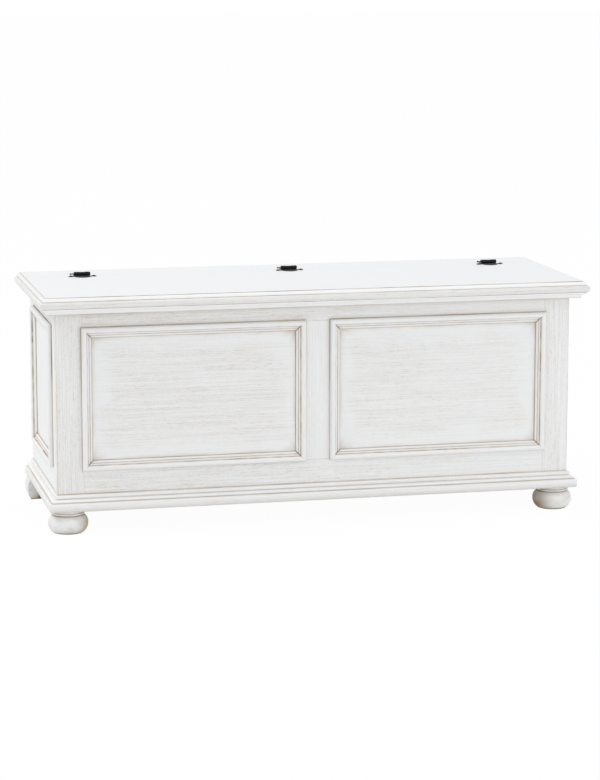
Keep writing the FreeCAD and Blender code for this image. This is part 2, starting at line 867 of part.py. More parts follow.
def lid_pieces():
    """Every wooden piece that swings with the lid."""
    front, left, right = lid_coves()
    side_x = inner_half_width - batten_side_inset
    return {
        "lid_board": lid_board(),
        "lid_cove_front": front,
        "lid_cove_left": left,
        "lid_cove_right": right,
        "lid_batten_left": lid_batten(-side_x),
        "lid_batten_middle": lid_batten(0),
        "lid_batten_right": lid_batten(side_x)}


def hinge_pieces():
    """Leaves, pins and screws of the three hinges."""
    pieces = {}
    for name, centre_x in zip(("left", "middle", "right"), hinge_places()):
        lid_leaf, rail_leaf = hinge_leaves(centre_x)
        pieces["hinge_" + name + "_lid_leaf"] = lid_leaf
        pieces["hinge_" + name + "_rail_leaf"] = rail_leaf
    pieces["hinge_pins"] = Part.makeCompound([hinge_pin(x) for x in hinge_places()])
    pieces["hinge_lid_screws"] = hinge_screws(-1)
    pieces["hinge_rail_screws"] = hinge_screws(1)
    return pieces


def main():
    """Build every piece and write each to its own file."""
    os.makedirs("parts", exist_ok=True)
    pieces = {**case_pieces(), **lid_pieces(), **hinge_pieces()}
    for name, shape in pieces.items():
        if not shape.isValid():
            print("not valid:", name)
        shape.exportStep("parts/" + name + ".step")
    print(len(pieces), "pieces")


main()
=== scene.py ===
"""Finish of a white painted blanket chest: cool white paint, rubbed brown glaze, wood grain and black iron.

The solid model brings every shape. This script adds the finishes, the light, the floor and the camera. Some
finishes also paint shade, and a little light, into the colour.
A finish works in the chest's own millimetres, which it gets from the Object coordinates.
"""
import itertools
import math
from collections import namedtuple
from functools import reduce

import bpy
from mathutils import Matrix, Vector


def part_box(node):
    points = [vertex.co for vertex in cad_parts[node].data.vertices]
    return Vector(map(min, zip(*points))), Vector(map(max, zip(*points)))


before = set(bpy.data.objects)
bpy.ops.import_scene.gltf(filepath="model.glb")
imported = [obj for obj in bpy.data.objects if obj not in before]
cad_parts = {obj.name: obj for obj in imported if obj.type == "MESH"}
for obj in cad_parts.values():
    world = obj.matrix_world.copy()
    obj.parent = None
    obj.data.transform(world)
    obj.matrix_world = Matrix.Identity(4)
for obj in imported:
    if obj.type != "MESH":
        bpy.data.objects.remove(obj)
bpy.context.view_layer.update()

# Colours, as red, green and blue
WHITE_PAINT = (0.865, 0.872, 0.882)
# Painted light: a paler white laid in shaded quirks, and on the lid's front round as a painted highlight.
PAINTED_LIGHT_WHITE = (0.930, 0.928, 0.921)
CASE_PAINT = (0.862, 0.868, 0.870)
# The glaze colours are also laid on as painted shade: beside the mouldings, under the lid's cove, low on the
# base board and on the feet.
GLAZE_AND_SHADE = (0.42, 0.28, 0.13)
PALE_GLAZE_AND_SHADE = (0.51, 0.45, 0.355)
DEEP_GLAZE_AND_SHADE = (0.12, 0.075, 0.035)
PINE = (0.66, 0.50, 0.32)
PINE_RING = (0.48, 0.32, 0.17)
PINE_PORE = (0.33, 0.21, 0.11)
IRON = (0.022, 0.021, 0.022)
IRON_WORN = (0.050, 0.048, 0.048)
IRON_BARREL = (0.006, 0.006, 0.006)
FLOOR_GREY = (0.92, 0.92, 0.925)
SKY = (0.98, 0.988, 1.0)
WHITE = (1.0, 1.0, 1.0)

# Millimetres in a metre
MM = 1000.0


class Wire:
    """An output of a shader node. Arithmetic on it adds Math nodes."""

    def __init__(self, finish, socket):
        self.finish = finish
        self.socket = socket

    def maths(self, operation, *others):
        return self.finish.node("ShaderNodeMath", {"operation": operation}, dict(enumerate((self, *others))))

    def __add__(self, other):
        return self.maths("ADD", other)

    def __sub__(self, other):
        return self.maths("SUBTRACT", other)

    def __rsub__(self, other):
        return self.finish.node("ShaderNodeMath", {"operation": "SUBTRACT"}, {0: other, 1: self})

    def __mul__(self, other):
        return self.maths("MULTIPLY", other)

    def __truediv__(self, other):
        return self.maths("DIVIDE", other)

    def __abs__(self):
        return self.maths("ABSOLUTE")

    __radd__ = __add__
    __rmul__ = __mul__

    def lower_of(self, other):
        return self.maths("MINIMUM", other)

    def higher_of(self, other):
        return self.maths("MAXIMUM", other)

    def above(self, limit):
        """1 where it is greater than the limit, and 0 elsewhere."""
        return self.maths("GREATER_THAN", limit)

    def ramp(self, start, end):
        """0 at start, 1 at end, eased between."""
        return self.finish.node(
            "ShaderNodeMapRange",
            {"interpolation_type": "SMOOTHSTEP"},
            {"Value": self, "From Min": start, "From Max": end})

    def fade(self, start, end):
        """1 at start, 0 at end, eased between."""
        return 1.0 - self.ramp(start, end)


class Finish:
    """A material while it is being put together."""

    def __init__(self, name, kind=bpy.data.materials):
        self.material = kind.new(name)
        self.material.use_nodes = True
        self.tree = self.material.node_tree
        self.tree.nodes.clear()

    def node(self, kind, settings, sockets, out=0):
        """Add a node, set it up, give its sockets values or links, and return one output."""
        made = self.tree.nodes.new(kind)
        for name, value in settings.items():
            setattr(made, name, value)
        for key, value in sockets.items():
            socket = named(made.inputs, key)
            if isinstance(value, Wire):
                self.tree.links.new(value.socket, socket)
            else:
                socket.default_value = value
        return Wire(self, named(made.outputs, out)) if made.outputs else None

    def place(self):
        """Where the surface point is on the chest, as x, y and z in millimetres."""
        local = self.node("ShaderNodeTexCoord", {}, {}, "Object")
        scaled = self.node("ShaderNodeVectorMath", {"operation": "SCALE"}, {"Vector": local, "Scale": MM})
        return [self.node("ShaderNodeSeparateXYZ", {}, {"Vector": scaled}, axis) for axis in "XYZ"]

    def vector(self, x, y, z):
        return self.node("ShaderNodeCombineXYZ", {}, {"X": x, "Y": y, "Z": z})

    def noise(self, x, y, z, seed, detail=2.0, roughness=0.5, distortion=0.0):
        """Smooth noise about 0.5 over three coordinates."""
        return self.node(
            "ShaderNodeTexNoise",
            {"noise_dimensions": "4D"},
            {"Vector": self.vector(x, y, z), "W": seed, "Scale": 1.0, "Detail": detail,
             "Roughness": roughness, "Distortion": distortion})

    def mix(self, amount, first, second):
        """Colour that goes from first to second as amount goes from 0 to 1."""
        return self.node(
            "ShaderNodeMix",
            {"data_type": "RGBA", "clamp_factor": True},
            {"Factor_Float": amount, "A_Color": opaque(first), "B_Color": opaque(second)},
            "Result_Color")

    def pick(self, mask, first, second):
        """Number first where mask is 0 and second where it is 1."""
        return self.node(
            "ShaderNodeMix",
            {"data_type": "FLOAT"},
            {"Factor_Float": mask, "A_Float": first, "B_Float": second},
            "Result_Float")

    def surface(self, colour, roughness, relief, relief_strength, relief_depth, gloss=0.5):
        """Close the material with one glossy-over-matt surface. The relief's depth is in metres."""
        normal = self.node(
            "ShaderNodeBump", {},
            {"Height": relief, "Strength": relief_strength, "Distance": relief_depth})
        shader = self.node(
            "ShaderNodeBsdfPrincipled", {},
            {"Base Color": colour, "Roughness": roughness, "Normal": normal, "Specular IOR Level": gloss})
        self.node("ShaderNodeOutputMaterial", {}, {"Surface": shader})
        return self.material


def named(sockets, key):
    """A socket by its number, its identifier or its name."""
    if isinstance(key, int):
        return sockets[key]
    matches = [socket for socket in sockets if socket.identifier == key]
    return matches[0] if matches else sockets[key]


def opaque(colour):
    """A plain colour with the fourth number that a socket needs. A linked colour stays as it is."""
    return (*colour, 1.0) if isinstance(colour, tuple) else colour


def strongest(*masks):
    """The highest of several masks at each point."""
    return reduce(Wire.higher_of, masks)


def box_mm(node):
    """Lowest and highest corner of a piece of the solid model, in millimetres."""
    low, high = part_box(node)
    return low * MM, high * MM


# Places on the solid model, in millimetres
lid_low, lid_high = box_mm("lid_board")
cove_low, cove_high = box_mm("lid_cove_front")
stile_low, stile_high = box_mm("front_stile_right")
front_ring_low, front_ring_high = box_mm("front_right_moulding")
side_ring_low, side_ring_high = box_mm("right_moulding")
side_stile_low, side_stile_high = box_mm("right_front_stile")
side_rear_low, _ = box_mm("right_rear_stile")
_, muntin_high = box_mm("front_muntin")
cap_low, cap_high = box_mm("base_cap_front")
base_low, base_high = box_mm("base_front")

CASE_HALF = stile_high.x
CASE_FRONT = stile_low.y
LID_HALF = lid_high.x
LID_FRONT = lid_low.y

# Lines of the lid's edge, in millimetres inwards from its outer edge, below its top and above its underside
LID_SHOULDER = 12.6
LID_NOSE = 6.5
LID_QUIRK_FALL = 8.4
LID_NOSE_RISE = 0.2

# Lines of a panel's moulding, in millimetres inwards from its outer edge, and what it laps over the frame
RING_ROUND = 11.5
RING_FLAT = 15.9
RING_WIDTH = 21.0
RING_LAP = 2.0

# How far a panel lies behind its frame's face, and how high the cap's bead is, in millimetres
PANEL_DEPTH = 2.0
CAP_BEAD = 8.3

# Top and foot of a turned foot's ring, in millimetres below the base
FOOT_RING_HIGH = 6.2
FOOT_RING_LOW = 10.2

# Middle and half of the height of the openings, in millimetres
OPENING_MIDDLE = (front_ring_high.z + front_ring_low.z) / 2
OPENING_HALF = (front_ring_high.z - front_ring_low.z) / 2 - RING_LAP

# Half widths of the glaze lines, in millimetres
STILE_JOINT = 0.9
MUNTIN_JOINT = 0.8
SIDE_JOINT = 0.7
RING_ROUND_LINE = 1.2
RING_FLAT_LINE = 1.0
MITRE_LINE = 1.8
SHOULDER_LINE = 1.3
LID_QUIRK_LINE = 1.0
LID_NOSE_LINE = 1.4

# Sizes of the patterns in the paint, in millimetres
BRUSH_LENGTH = 160.0
BRUSH_WIDTH = 9.0
KEPT_LENGTH = 130.0
CLOUD_WIDTH = 60.0
CLOUD_HEIGHT = 45.0
WANDER_WIDTH = 70.0
SMUDGE_WIDTH = 24.0
SMUDGE_HEIGHT = 12.0
FOOT_MARK_WIDTH = 9.0
FOOT_MARK_HEIGHT = 2.5

# Length and width of a dash of glaze in the grain, in millimetres
FRAME_DASH = (18.0, 1.9)
PANEL_DASH = (14.0, 1.7)
RING_DASH = (30.0, 1.8)
RUN_DASH = (30.0, 1.9)

# Size of the breaks in the glaze, in millimetres: along, inwards and, on the lid's edge, up
RING_BREAK = (24.0, 3.0)
LID_BREAK = (60.0, 5.0, 3.0)

# Length and width of the pine's rings and pores, and width of the iron's patches, in millimetres
PINE_RINGS = (400.0, 9.0)
PINE_PORES = (30.0, 0.8)
IRON_PATCH = 3.0

# How strong the marks in the grain are
PLAIN_MARKS = 0.4
FRAME_MARKS = 0.68
MUNTIN_MARKS = 0.24
SIDE_FRAME_MARKS = 0.16
PANEL_MARKS = 0.60
SIDE_PANEL_MARKS = 0.12
RING_MARKS = 0.30
RUN_MARKS = 0.3
COVE_MARKS = 0.06

# Gloss and relief of the paint. The relief's depth is in metres
PAINT_ROUGHNESS = 0.5
PAINT_GLOSS = 0.35
PAINT_RELIEF = 0.25
PAINT_RELIEF_DEPTH = 0.0004

# What each pattern of a piece adds to the piece's seed
TONE_SEED = 2.0
CLOUD_SEED = 3.0
KEPT_SEED = 4.0
STREAK_SEED = 5.0
BREAK_SEED = 6.0
PATCH_SEED = 7.0
FLECK_SEED = 9.0

# The iron's own seed
IRON_SEED = 3.0

# What an upright or an end adds to its run, so that its glaze doesn't repeat the rail's or the front's
UPRIGHT_JUMP = 500.0
END_JUMP = 900.0


def line(distance, centre, half_width):
    """1 on a line, easing to 0 at half_width from it."""
    return abs(distance - centre).fade(half_width * 0.35, half_width)


# Where a point lies on the moulding ring of its wall
Spot = namedtuple("Spot", "inset on_upright from_mitre rise")


def spot_on_ring(x, y, z, side):
    """Distance inwards from the ring's outer edge, 1 on an upright, distance from the mitre, and height."""
    low, high = (side_ring_low, side_ring_high) if side else (front_ring_low, front_ring_high)
    across, start, end = (y, low.y, high.y) if side else (abs(x), low.x, high.x)
    beside = (end - start) / 2 - abs(across - (start + end) / 2)
    over = (high.z - low.z) / 2 - abs(z - (low.z + high.z) / 2)
    rise = abs(x) - CASE_HALF if side else CASE_FRONT - y
    return Spot(beside.lower_of(over), over.above(beside), abs(over - beside), rise)


def outer_face(x, y, side, limit):
    """1 on the outer face of a wall, easing to 0 at a depth behind it."""
    behind = CASE_HALF - abs(x) if side else y - CASE_FRONT
    return behind.fade(limit * 0.7, limit)


def upper_part(z):
    """0 low on the case and 1 high on it, rising past the middle of the openings."""
    return (z - OPENING_MIDDLE).ramp(-20.0, 60.0)


def grain_axes(point, grain):
    """The coordinates along the grain and across it."""
    x, y, z = point
    return {"X": (x, y, z), "Y": (y, x, z), "Z": (z, x, y)}[grain]


def grain_marks(finish, along, across, depth, seed, dash=FRAME_DASH):
    """Long faint streaks that the glaze leaves in the grain, with patches of dashes and short flecks."""
    length, width = dash

    def pattern(long, wide, seed_step, detail, roughness=0.5):
        """Noise so many times as long and as wide as a dash."""
        return finish.noise(
            along / (long * length), across / (wide * width), depth / (wide * width),
            seed + seed_step, detail, roughness)

    streaks = pattern(11.0, 1.0, STREAK_SEED, 2.0, 0.6).ramp(0.40, 0.68)
    dashes = pattern(1.0, 1.1, 0.0, 1.0).ramp(0.50, 0.70)
    flecks = pattern(0.3, 0.9, FLECK_SEED, 1.0).ramp(0.46, 0.72)
    patch = pattern(9.0, 18.0, PATCH_SEED, 2.0).ramp(0.30, 0.60)
    return 0.34 * streaks + dashes * (0.26 + 0.30 * streaks) * patch + flecks * (0.20 + 0.20 * streaks)


def kept_glaze(finish, along, seed):
    """How much glaze a line keeps along its run: it fades and comes back slowly."""
    slow = finish.noise(along / KEPT_LENGTH, 0.0, 0.0, seed + KEPT_SEED, 2.0, 0.6)
    return 0.62 + 0.38 * slow.ramp(0.36, 0.62)


def brushed(finish, along, across, depth, seed):
    """Slow light and dark of brushed paint, about 0.5."""
    return finish.noise(
        along / BRUSH_LENGTH, across / BRUSH_WIDTH, depth / BRUSH_WIDTH, seed + TONE_SEED, 3.0, 0.6)


def paint(finish, base, marks, haze_and_shade, lines, relief):
    """White paint under a rubbed glaze: a brownish darkening, partly glaze and partly painted shade, marks
    in the grain, and lines, if any, in the corners, which on the feet and at the cove's foot are partly
    painted shade.
    """
    colour = finish.mix(haze_and_shade, base, PALE_GLAZE_AND_SHADE)
    colour = finish.mix(marks, colour, PALE_GLAZE_AND_SHADE)
    if lines is not None:
        colour = finish.mix(lines, colour, GLAZE_AND_SHADE)
        colour = finish.mix(lines.ramp(0.55, 1.0) * 0.85, colour, DEEP_GLAZE_AND_SHADE)
    roughness = PAINT_ROUGHNESS + 0.12 * marks
    return finish.surface(colour, roughness, relief, PAINT_RELIEF, PAINT_RELIEF_DEPTH, PAINT_GLOSS)


def plain_paint(node, seed, grain):
    """Paint on a piece with no moulding: faint marks along its grain."""
    finish = Finish("paint_" + node)
    along, across, depth = grain_axes(finish.place(), grain)
    marks = grain_marks(finish, along, across, depth, seed) * PLAIN_MARKS
    tone = brushed(finish, along, across, depth, seed)
    return paint(finish, CASE_PAINT, marks, tone.ramp(0.45, 0.8) * 0.12, None, tone)


def joint_lines(x, y, z, side):
    """Glaze on the joints of stiles, rails and muntin. An end's corner keeps more than its rails' ends."""
    if side:
        corner = line(y, side_stile_low.y, STILE_JOINT)
        rail_ends = line(y, side_stile_high.y, SIDE_JOINT).higher_of(line(y, side_rear_low.y, SIDE_JOINT))
        return corner.higher_of(rail_ends * 0.4)
    rail_ends = line(abs(x), stile_low.x, STILE_JOINT)
    muntin_ends = line(abs(z - OPENING_MIDDLE), OPENING_HALF, MUNTIN_JOINT)
    return rail_ends.higher_of(muntin_ends * (1.0 - abs(x).above(muntin_high.x)))


def frame_paint(node, seed, grain, side, strength=FRAME_MARKS):
    """Paint on a stile, rail or muntin, with glaze in its corners, its joints and round the moulding, and
    painted shade beside the moulding, above the base cap, under the lid's cove and on the left of the front.

    The marks are weaker to the right, partly as painted shade on the left, and strength counts on the front
    only.
    """
    finish = Finish("paint_" + node)
    x, y, z = finish.place()
    along, across, depth = grain_axes((x, y, z), grain)
    tone = brushed(finish, along, across, depth, seed)
    upper = upper_part(z)
    marks = grain_marks(finish, along, across, depth, seed) * (SIDE_FRAME_MARKS if side else strength)
    # The marks fade to the right: partly the grain's own glaze, partly painted shade on the left.
    if grain == "X":
        marks = marks * (1.12 - 0.5 * x.ramp(-250.0, 400.0))
    else:
        marks = marks * (1.05 - 0.2 * x.ramp(0.0, 500.0))
    from_ring = abs(spot_on_ring(x, y, z, side).inset)
    above_cap = z - cap_high.z
    above_cove = z - cove_low.z
    # Painted shade: darker beside the moulding, more so high up, just above the base cap, and under the
    # lid's cove.
    shade = (
        from_ring.fade(0.0, 10.0) * (0.08 + 0.16 * upper)
        + above_cap.fade(0.0, 12.0) * 0.08
        + above_cove.ramp(-40.0, -4.0) * 0.13
        + above_cove.ramp(-9.0, -4.0) * 0.20)
    haze_and_shade = tone.ramp(0.42, 0.8) * (0.03 if side else 0.06) + shade
    # Painted shade: the front is darker to the left.
    if not side:
        haze_and_shade = haze_and_shade + 0.035 * x.fade(-450.0, 250.0)
    lines = strongest(
        from_ring.fade(0.5, 2.4) * (0.54 + 0.30 * upper),
        above_cap.fade(1.2, 3.6) * 0.68,
        joint_lines(x, y, z, side) * 0.36,
        (CASE_HALF - abs(x) + y - CASE_FRONT).fade(0.8, 2.8) * (0.42 - 0.22 * upper))
    outer = outer_face(x, y, side, 12.0)
    lines = lines * kept_glaze(finish, along, seed) * outer
    return paint(finish, CASE_PAINT, marks, haze_and_shade * outer, lines, tone)


def panel_paint(node, seed, grain, side):
    """Paint on a flat panel: a rubbed mist of fine marks in its middle, and glaze along its moulding.

    The marks are weaker to the right, partly as painted shade on the left.
    """
    finish = Finish("paint_" + node)
    x, y, z = finish.place()
    along, across, depth = grain_axes((x, y, z), grain)
    tone = brushed(finish, along, across, depth, seed)
    spot = spot_on_ring(x, y, z, side)
    inside = spot.inset - RING_WIDTH
    cloud = finish.noise(x / CLOUD_WIDTH, y / CLOUD_WIDTH, z / CLOUD_HEIGHT, seed + CLOUD_SEED, 3.0)
    middle = (inside + 90.0 * (cloud - 0.5)).ramp(8.0, 52.0)
    marks = grain_marks(finish, along, across, depth, seed, PANEL_DASH) * (0.34 + 0.66 * middle)
    # The marks fade to the right: partly the grain's own glaze, partly painted shade on the left.
    marks = marks * (SIDE_PANEL_MARKS if side else PANEL_MARKS) * (1.0 - 0.36 * x.ramp(0.0, 500.0))
    wander = finish.noise(x / WANDER_WIDTH, y / WANDER_WIDTH, z / WANDER_WIDTH, seed + KEPT_SEED, 2.0)
    stain = inside.fade(0.0, 10.0) * wander.ramp(0.30, 0.65) * 0.34
    corner = spot.from_mitre.fade(0.0, 30.0) * inside.fade(0.0, 18.0) * 0.38
    haze_and_shade = (tone.ramp(0.4, 0.8) * 0.05 + 0.02) * middle + 0.03 + stain + corner
    outer = outer_face(x, y, side, 8.0)
    edge = inside.fade(0.5, 2.3) * kept_glaze(finish, x + z, seed) * outer * 0.74
    return paint(finish, CASE_PAINT, marks, haze_and_shade * outer, edge, tone)


def moulding_paint(node, seed, side):
    """Paint on a mitred moulding ring: glaze in its quirks, at its feet and in its mitres."""
    finish = Finish("paint_" + node)
    x, y, z = finish.place()
    spot = spot_on_ring(x, y, z, side)
    along = finish.pick(spot.on_upright, y if side else x, z)
    depth = x if side else y
    marks = grain_marks(finish, along, spot.inset, depth, seed, RING_DASH) * RING_MARKS
    long, wide = RING_BREAK
    broken = finish.noise(along / long, spot.inset / wide, spot.on_upright * 9.0, seed + BREAK_SEED, 2.0)
    broken = broken.ramp(0.3, 0.6)
    lines = strongest(
        spot.rise.fade(0.5, 3.0) * spot.inset.fade(0.4, 1.2) * (0.62 + 0.34 * upper_part(z)),
        line(spot.inset, RING_ROUND, RING_ROUND_LINE) * (0.46 + 0.34 * broken),
        line(spot.inset, RING_FLAT, RING_FLAT_LINE) * (0.32 + 0.34 * broken),
        (spot.rise + PANEL_DEPTH).fade(0.4, 1.8) * 0.9)
    lines = lines * kept_glaze(finish, along + UPRIGHT_JUMP * spot.on_upright, seed)
    mitre = line(spot.from_mitre, 0.0, MITRE_LINE) * (spot.inset.ramp(6.0, 15.0) * 0.95 + 0.05)
    tone = brushed(finish, along, spot.inset, depth, seed)
    corner = spot.from_mitre.fade(0.0, 14.0) * spot.inset.ramp(8.0, 18.0)
    haze_and_shade = tone.ramp(0.4, 0.75) * 0.08 + corner * 0.22
    return paint(finish, CASE_PAINT, marks, haze_and_shade, lines.higher_of(mitre), tone)


def top_paint(node, seed):
    """Paint on the top: nearly plain, with glaze at its edge's steps, painted light in the quirk under its
    edge's round, and a painted highlight on the front edge's round.
    """
    finish = Finish("paint_" + node)
    x, y, z = finish.place()
    from_end = LID_HALF - abs(x)
    from_front = y - LID_FRONT
    at_end = from_front.above(from_end)
    inset = from_end.lower_of(from_front)
    below = lid_high.z - z
    along = finish.pick(at_end, x, y)
    long, wide, high = LID_BREAK
    broken = finish.noise(along / long, inset / wide, z / high, seed + BREAK_SEED, 2.0).ramp(0.35, 0.6)
    edge = inset.fade(LID_SHOULDER - 1.0, LID_SHOULDER + 2.0)
    rim = inset.fade(LID_NOSE, LID_NOSE + 2.0)
    rounded = edge * below.fade(LID_QUIRK_FALL, LID_QUIRK_FALL + 1.0)
    nose = below.ramp(LID_QUIRK_FALL, LID_QUIRK_FALL + 1.5) * rim
    lines = strongest(
        line(inset, LID_SHOULDER, SHOULDER_LINE) * below.fade(1.0, 1.6) * (0.82 - 0.34 * at_end),
        line(below, LID_QUIRK_FALL, LID_QUIRK_LINE) * (0.10 + 0.30 * broken),
        line(z, lid_low.z + LID_NOSE_RISE, LID_NOSE_LINE) * 0.42 * broken * rim)
    lines = lines * kept_glaze(finish, along + END_JUMP * at_end, seed)
    marks = grain_marks(finish, along, inset, z, seed, RUN_DASH) * (0.02 + 0.04 * edge + 0.55 * nose)
    tone = brushed(finish, x, y, z, seed)
    haze_and_shade = tone.ramp(0.4, 0.8) * (0.02 + 0.03 * edge) + nose * 0.14 + rounded * at_end * 0.12
    # Painted light: a paler white in the shaded quirk under the edge's round, and a painted highlight on the
    # front edge's round.
    painted_light = (line(below, LID_QUIRK_FALL + 0.3, 1.5) * edge).higher_of(rounded * (1.0 - at_end) * 0.55)
    return paint(finish, finish.mix(painted_light, WHITE_PAINT, PAINTED_LIGHT_WHITE), marks, haze_and_shade, lines, tone)


# A dark line on a run of moulding, glaze on the cap and base and painted shade at the cove's foot: its
# height, half width and strength, and how far out from the case it starts
Step = namedtuple("Step", "height half_width strength out")

# A run of moulding round the case: its lines, the heights between which its paint darkens downwards, how
# much it darkens, how strong its marks are, and the height just below which painted light lifts the shade in
# its crevice, if any
Run = namedtuple("Run", "steps brown_from brown_to brown marks crevice")

CAP_RUN = Run(
    steps=(Step(cap_high.z - CAP_BEAD - 1.2, 1.4, 0.10, 2.0), Step(cap_low.z, 1.5, 0.46, 8.0)),
    brown_from=cap_low.z + 4.0,
    brown_to=cap_low.z,
    brown=0.05,
    marks=RUN_MARKS,
    crevice=cap_high.z - CAP_BEAD)
# The base board's darkening downwards is painted shade.
BASE_RUN = Run(
    steps=(Step(base_high.z, 1.6, 0.40, 8.0), Step(base_low.z, 1.4, 0.35, 13.0)),
    brown_from=base_high.z - 6.0,
    brown_to=base_low.z + 1.0,
    brown=0.34,
    marks=RUN_MARKS,
    crevice=None)
# The line at the cove's foot is painted shade, where the cove overhangs the top rail.
COVE_RUN = Run(
    steps=(Step(cove_low.z, 1.8, 0.70, 18.0),),
    brown_from=cove_low.z + 5.0,
    brown_to=cove_low.z,
    brown=0.08,
    marks=COVE_MARKS,
    crevice=cove_high.z)


def run_paint(node, seed, run):
    """Paint on a run of moulding round the case."""
    finish = Finish("paint_" + node)
    x, y, z = finish.place()
    at_end = (y - CASE_FRONT).above(CASE_HALF - abs(x))
    along = finish.pick(at_end, x, y)
    across = finish.pick(at_end, y, x)
    out = (CASE_FRONT - y).higher_of(abs(x) - CASE_HALF)
    marks = grain_marks(finish, along, across, z, seed, RUN_DASH) * run.marks
    lines = strongest(*(
        line(z, step.height, step.half_width) * out.ramp(step.out - 2.0, step.out) * step.strength
        for step in run.steps))
    kept = kept_glaze(finish, along + END_JUMP * at_end, seed)
    tone = brushed(finish, along, across, z, seed)
    # Darker downwards on the outer part: on the base board this is painted shade, where less light reaches.
    brown = z.fade(run.brown_to, run.brown_from) * out.ramp(4.0, 8.0) * run.brown
    haze_and_shade = tone.ramp(0.4, 0.75) * run.marks * 0.25 + brown
    base = CASE_PAINT
    # Painted light: a paler white just below the crevice's height, lifting the shade under the cap's bead
    # and under the lid's nose.
    if run.crevice is not None:
        base = finish.mix(line(z, run.crevice - 1.6, 3.2), CASE_PAINT, PAINTED_LIGHT_WHITE)
    return paint(finish, base, marks, haze_and_shade, lines * kept, tone)


def foot_paint(node, seed, turned):
    """Paint on a foot: smudges, and painted shade at the rest and on the inner side.

    A turned foot has glaze under its ring. A sawn foot has its painted shade on the front face, under the
    base.
    """
    low, high = box_mm(node)
    middle, half = abs(low.x + high.x) / 2, (high.x - low.x) / 2
    finish = Finish("paint_" + node)
    x, y, z = finish.place()
    around = finish.noise(x / FOOT_MARK_WIDTH, y / FOOT_MARK_WIDTH, z / FOOT_MARK_HEIGHT, seed, 3.0, 0.6)
    smudge = finish.noise(x / SMUDGE_WIDTH, y / SMUDGE_WIDTH, z / SMUDGE_HEIGHT, seed + TONE_SEED, 2.0)
    inner = ((middle - abs(x)) / half).ramp(0.0, 1.0)
    # Painted shade: darker on the inner side and low down, and a dark line where the foot meets the floor.
    inner_shade = inner * inner * z.fade(6.0, 44.0) * 0.85
    rim = z.fade(1.0, 5.0) * 0.85
    if turned:
        neck = line(z, base_low.z - FOOT_RING_LOW - 0.8, 2.0) * 0.62
        collar = line(z, base_low.z - FOOT_RING_HIGH, 1.0) * 0.3
        lines = strongest(rim, inner_shade, neck, collar)
    else:
        # Painted shade on the sawn foot's front face, darker inwards and low down, under the base.
        shaded = (middle + half - abs(x)).ramp(6.0, 30.0) * z.fade(2.0, 30.0)
        lines = rim.higher_of(inner_shade.higher_of(shaded) * (y - low.y).fade(0.5, 8.0))
    # The smudges are the foot's own dirt; the darkening at the rest and on the inner side is painted shade.
    haze_and_shade = smudge.ramp(0.40, 0.8) * 0.34 + z.fade(0.0, 12.0) * 0.25 + inner * 0.42 + 0.07
    marks = around.ramp(0.50, 0.8) * 0.26
    return paint(finish, CASE_PAINT, marks, haze_and_shade, lines, around)


def bare_pine(node, seed, grain):
    """Planed pine with straight grain."""
    finish = Finish("pine_" + node)
    along, across, depth = grain_axes(finish.place(), grain)
    long, wide = PINE_RINGS
    rings = finish.noise(along / long, across / wide, depth / wide, seed, 4.0, 0.6, 0.4)
    long, wide = PINE_PORES
    pores = finish.noise(along / long, across / wide, depth / wide, seed + TONE_SEED, 2.0)
    colour = finish.mix(rings.ramp(0.35, 0.7), PINE, PINE_RING)
    colour = finish.mix(pores.ramp(0.55, 0.8) * 0.4, colour, PINE_PORE)
    return finish.surface(colour, 0.62 + 0.1 * pores, pores, 0.3, 0.0003)


def black_iron():
    """Blackened iron, a little uneven, and blacker on the barrels, which stand above the top."""
    finish = Finish("black_iron")
    x, y, z = finish.place()
    cast = finish.noise(x / IRON_PATCH, y / IRON_PATCH, z / IRON_PATCH, IRON_SEED, 3.0)
    barrel = (z - lid_high.z).ramp(1.8, 2.4)
    colour = finish.mix(barrel, finish.mix(cast.ramp(0.35, 0.75), IRON, IRON_WORN), IRON_BARREL)
    return finish.surface(colour, 0.24 + 0.14 * cast + 0.16 * barrel, cast, 0.15, 0.0003, gloss=0.22)


# A seed for each piece, in the order in which the pieces are dressed
seeds = itertools.count(11, 13)


def cover(node, material):
    """Put a material on a piece of the solid model."""
    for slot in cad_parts[node].material_slots:
        slot.material = material


def dress(node, make, *details):
    """Give a piece a finish of its own."""
    cover(node, make(node, next(seeds), *details))


def dress_sides():
    """The ends of the case, the left and right pieces of its front, and the feet."""
    for side in ("left", "right"):
        for part in ("front_stile", "rear_stile"):
            dress(f"{side}_{part}", frame_paint, "Z", True)
        for part in ("bottom_rail", "top_rail"):
            dress(f"{side}_{part}", frame_paint, "Y", True)
        dress(f"{side}_panel", panel_paint, "Z", True)
        dress(f"{side}_moulding", moulding_paint, True)
        dress(f"front_stile_{side}", frame_paint, "Z", False)
        dress(f"front_panel_{side}", panel_paint, "X", False)
        dress(f"front_{side}_moulding", moulding_paint, False)
        for place in ("front", "rear"):
            dress(f"foot_{place}_{side}", foot_paint, place == "front")


def dress_front_middle():
    """The muntin, which the glaze marks least, and the long rails."""
    dress("front_muntin", frame_paint, "Z", False, MUNTIN_MARKS)
    dress("front_top_rail", frame_paint, "X", False)
    dress("front_bottom_rail", frame_paint, "X", False)


def dress_runs():
    """The mouldings that run round the base and under the lid."""
    for side in ("front", "left", "right"):
        dress("base_cap_" + side, run_paint, CAP_RUN)
        dress("base_" + side, run_paint, BASE_RUN)
        dress("lid_cove_" + side, run_paint, COVE_RUN)


def dress_top():
    """The lid, its battens, and the rear rail with its short coves."""
    for side in ("left", "right"):
        dress("rear_cove_" + side, run_paint, COVE_RUN)
        dress("lid_batten_" + side, plain_paint, "Y")
    dress("lid_batten_middle", plain_paint, "Y")
    dress("lid_board", top_paint)
    dress("top_rear_rail", top_paint)


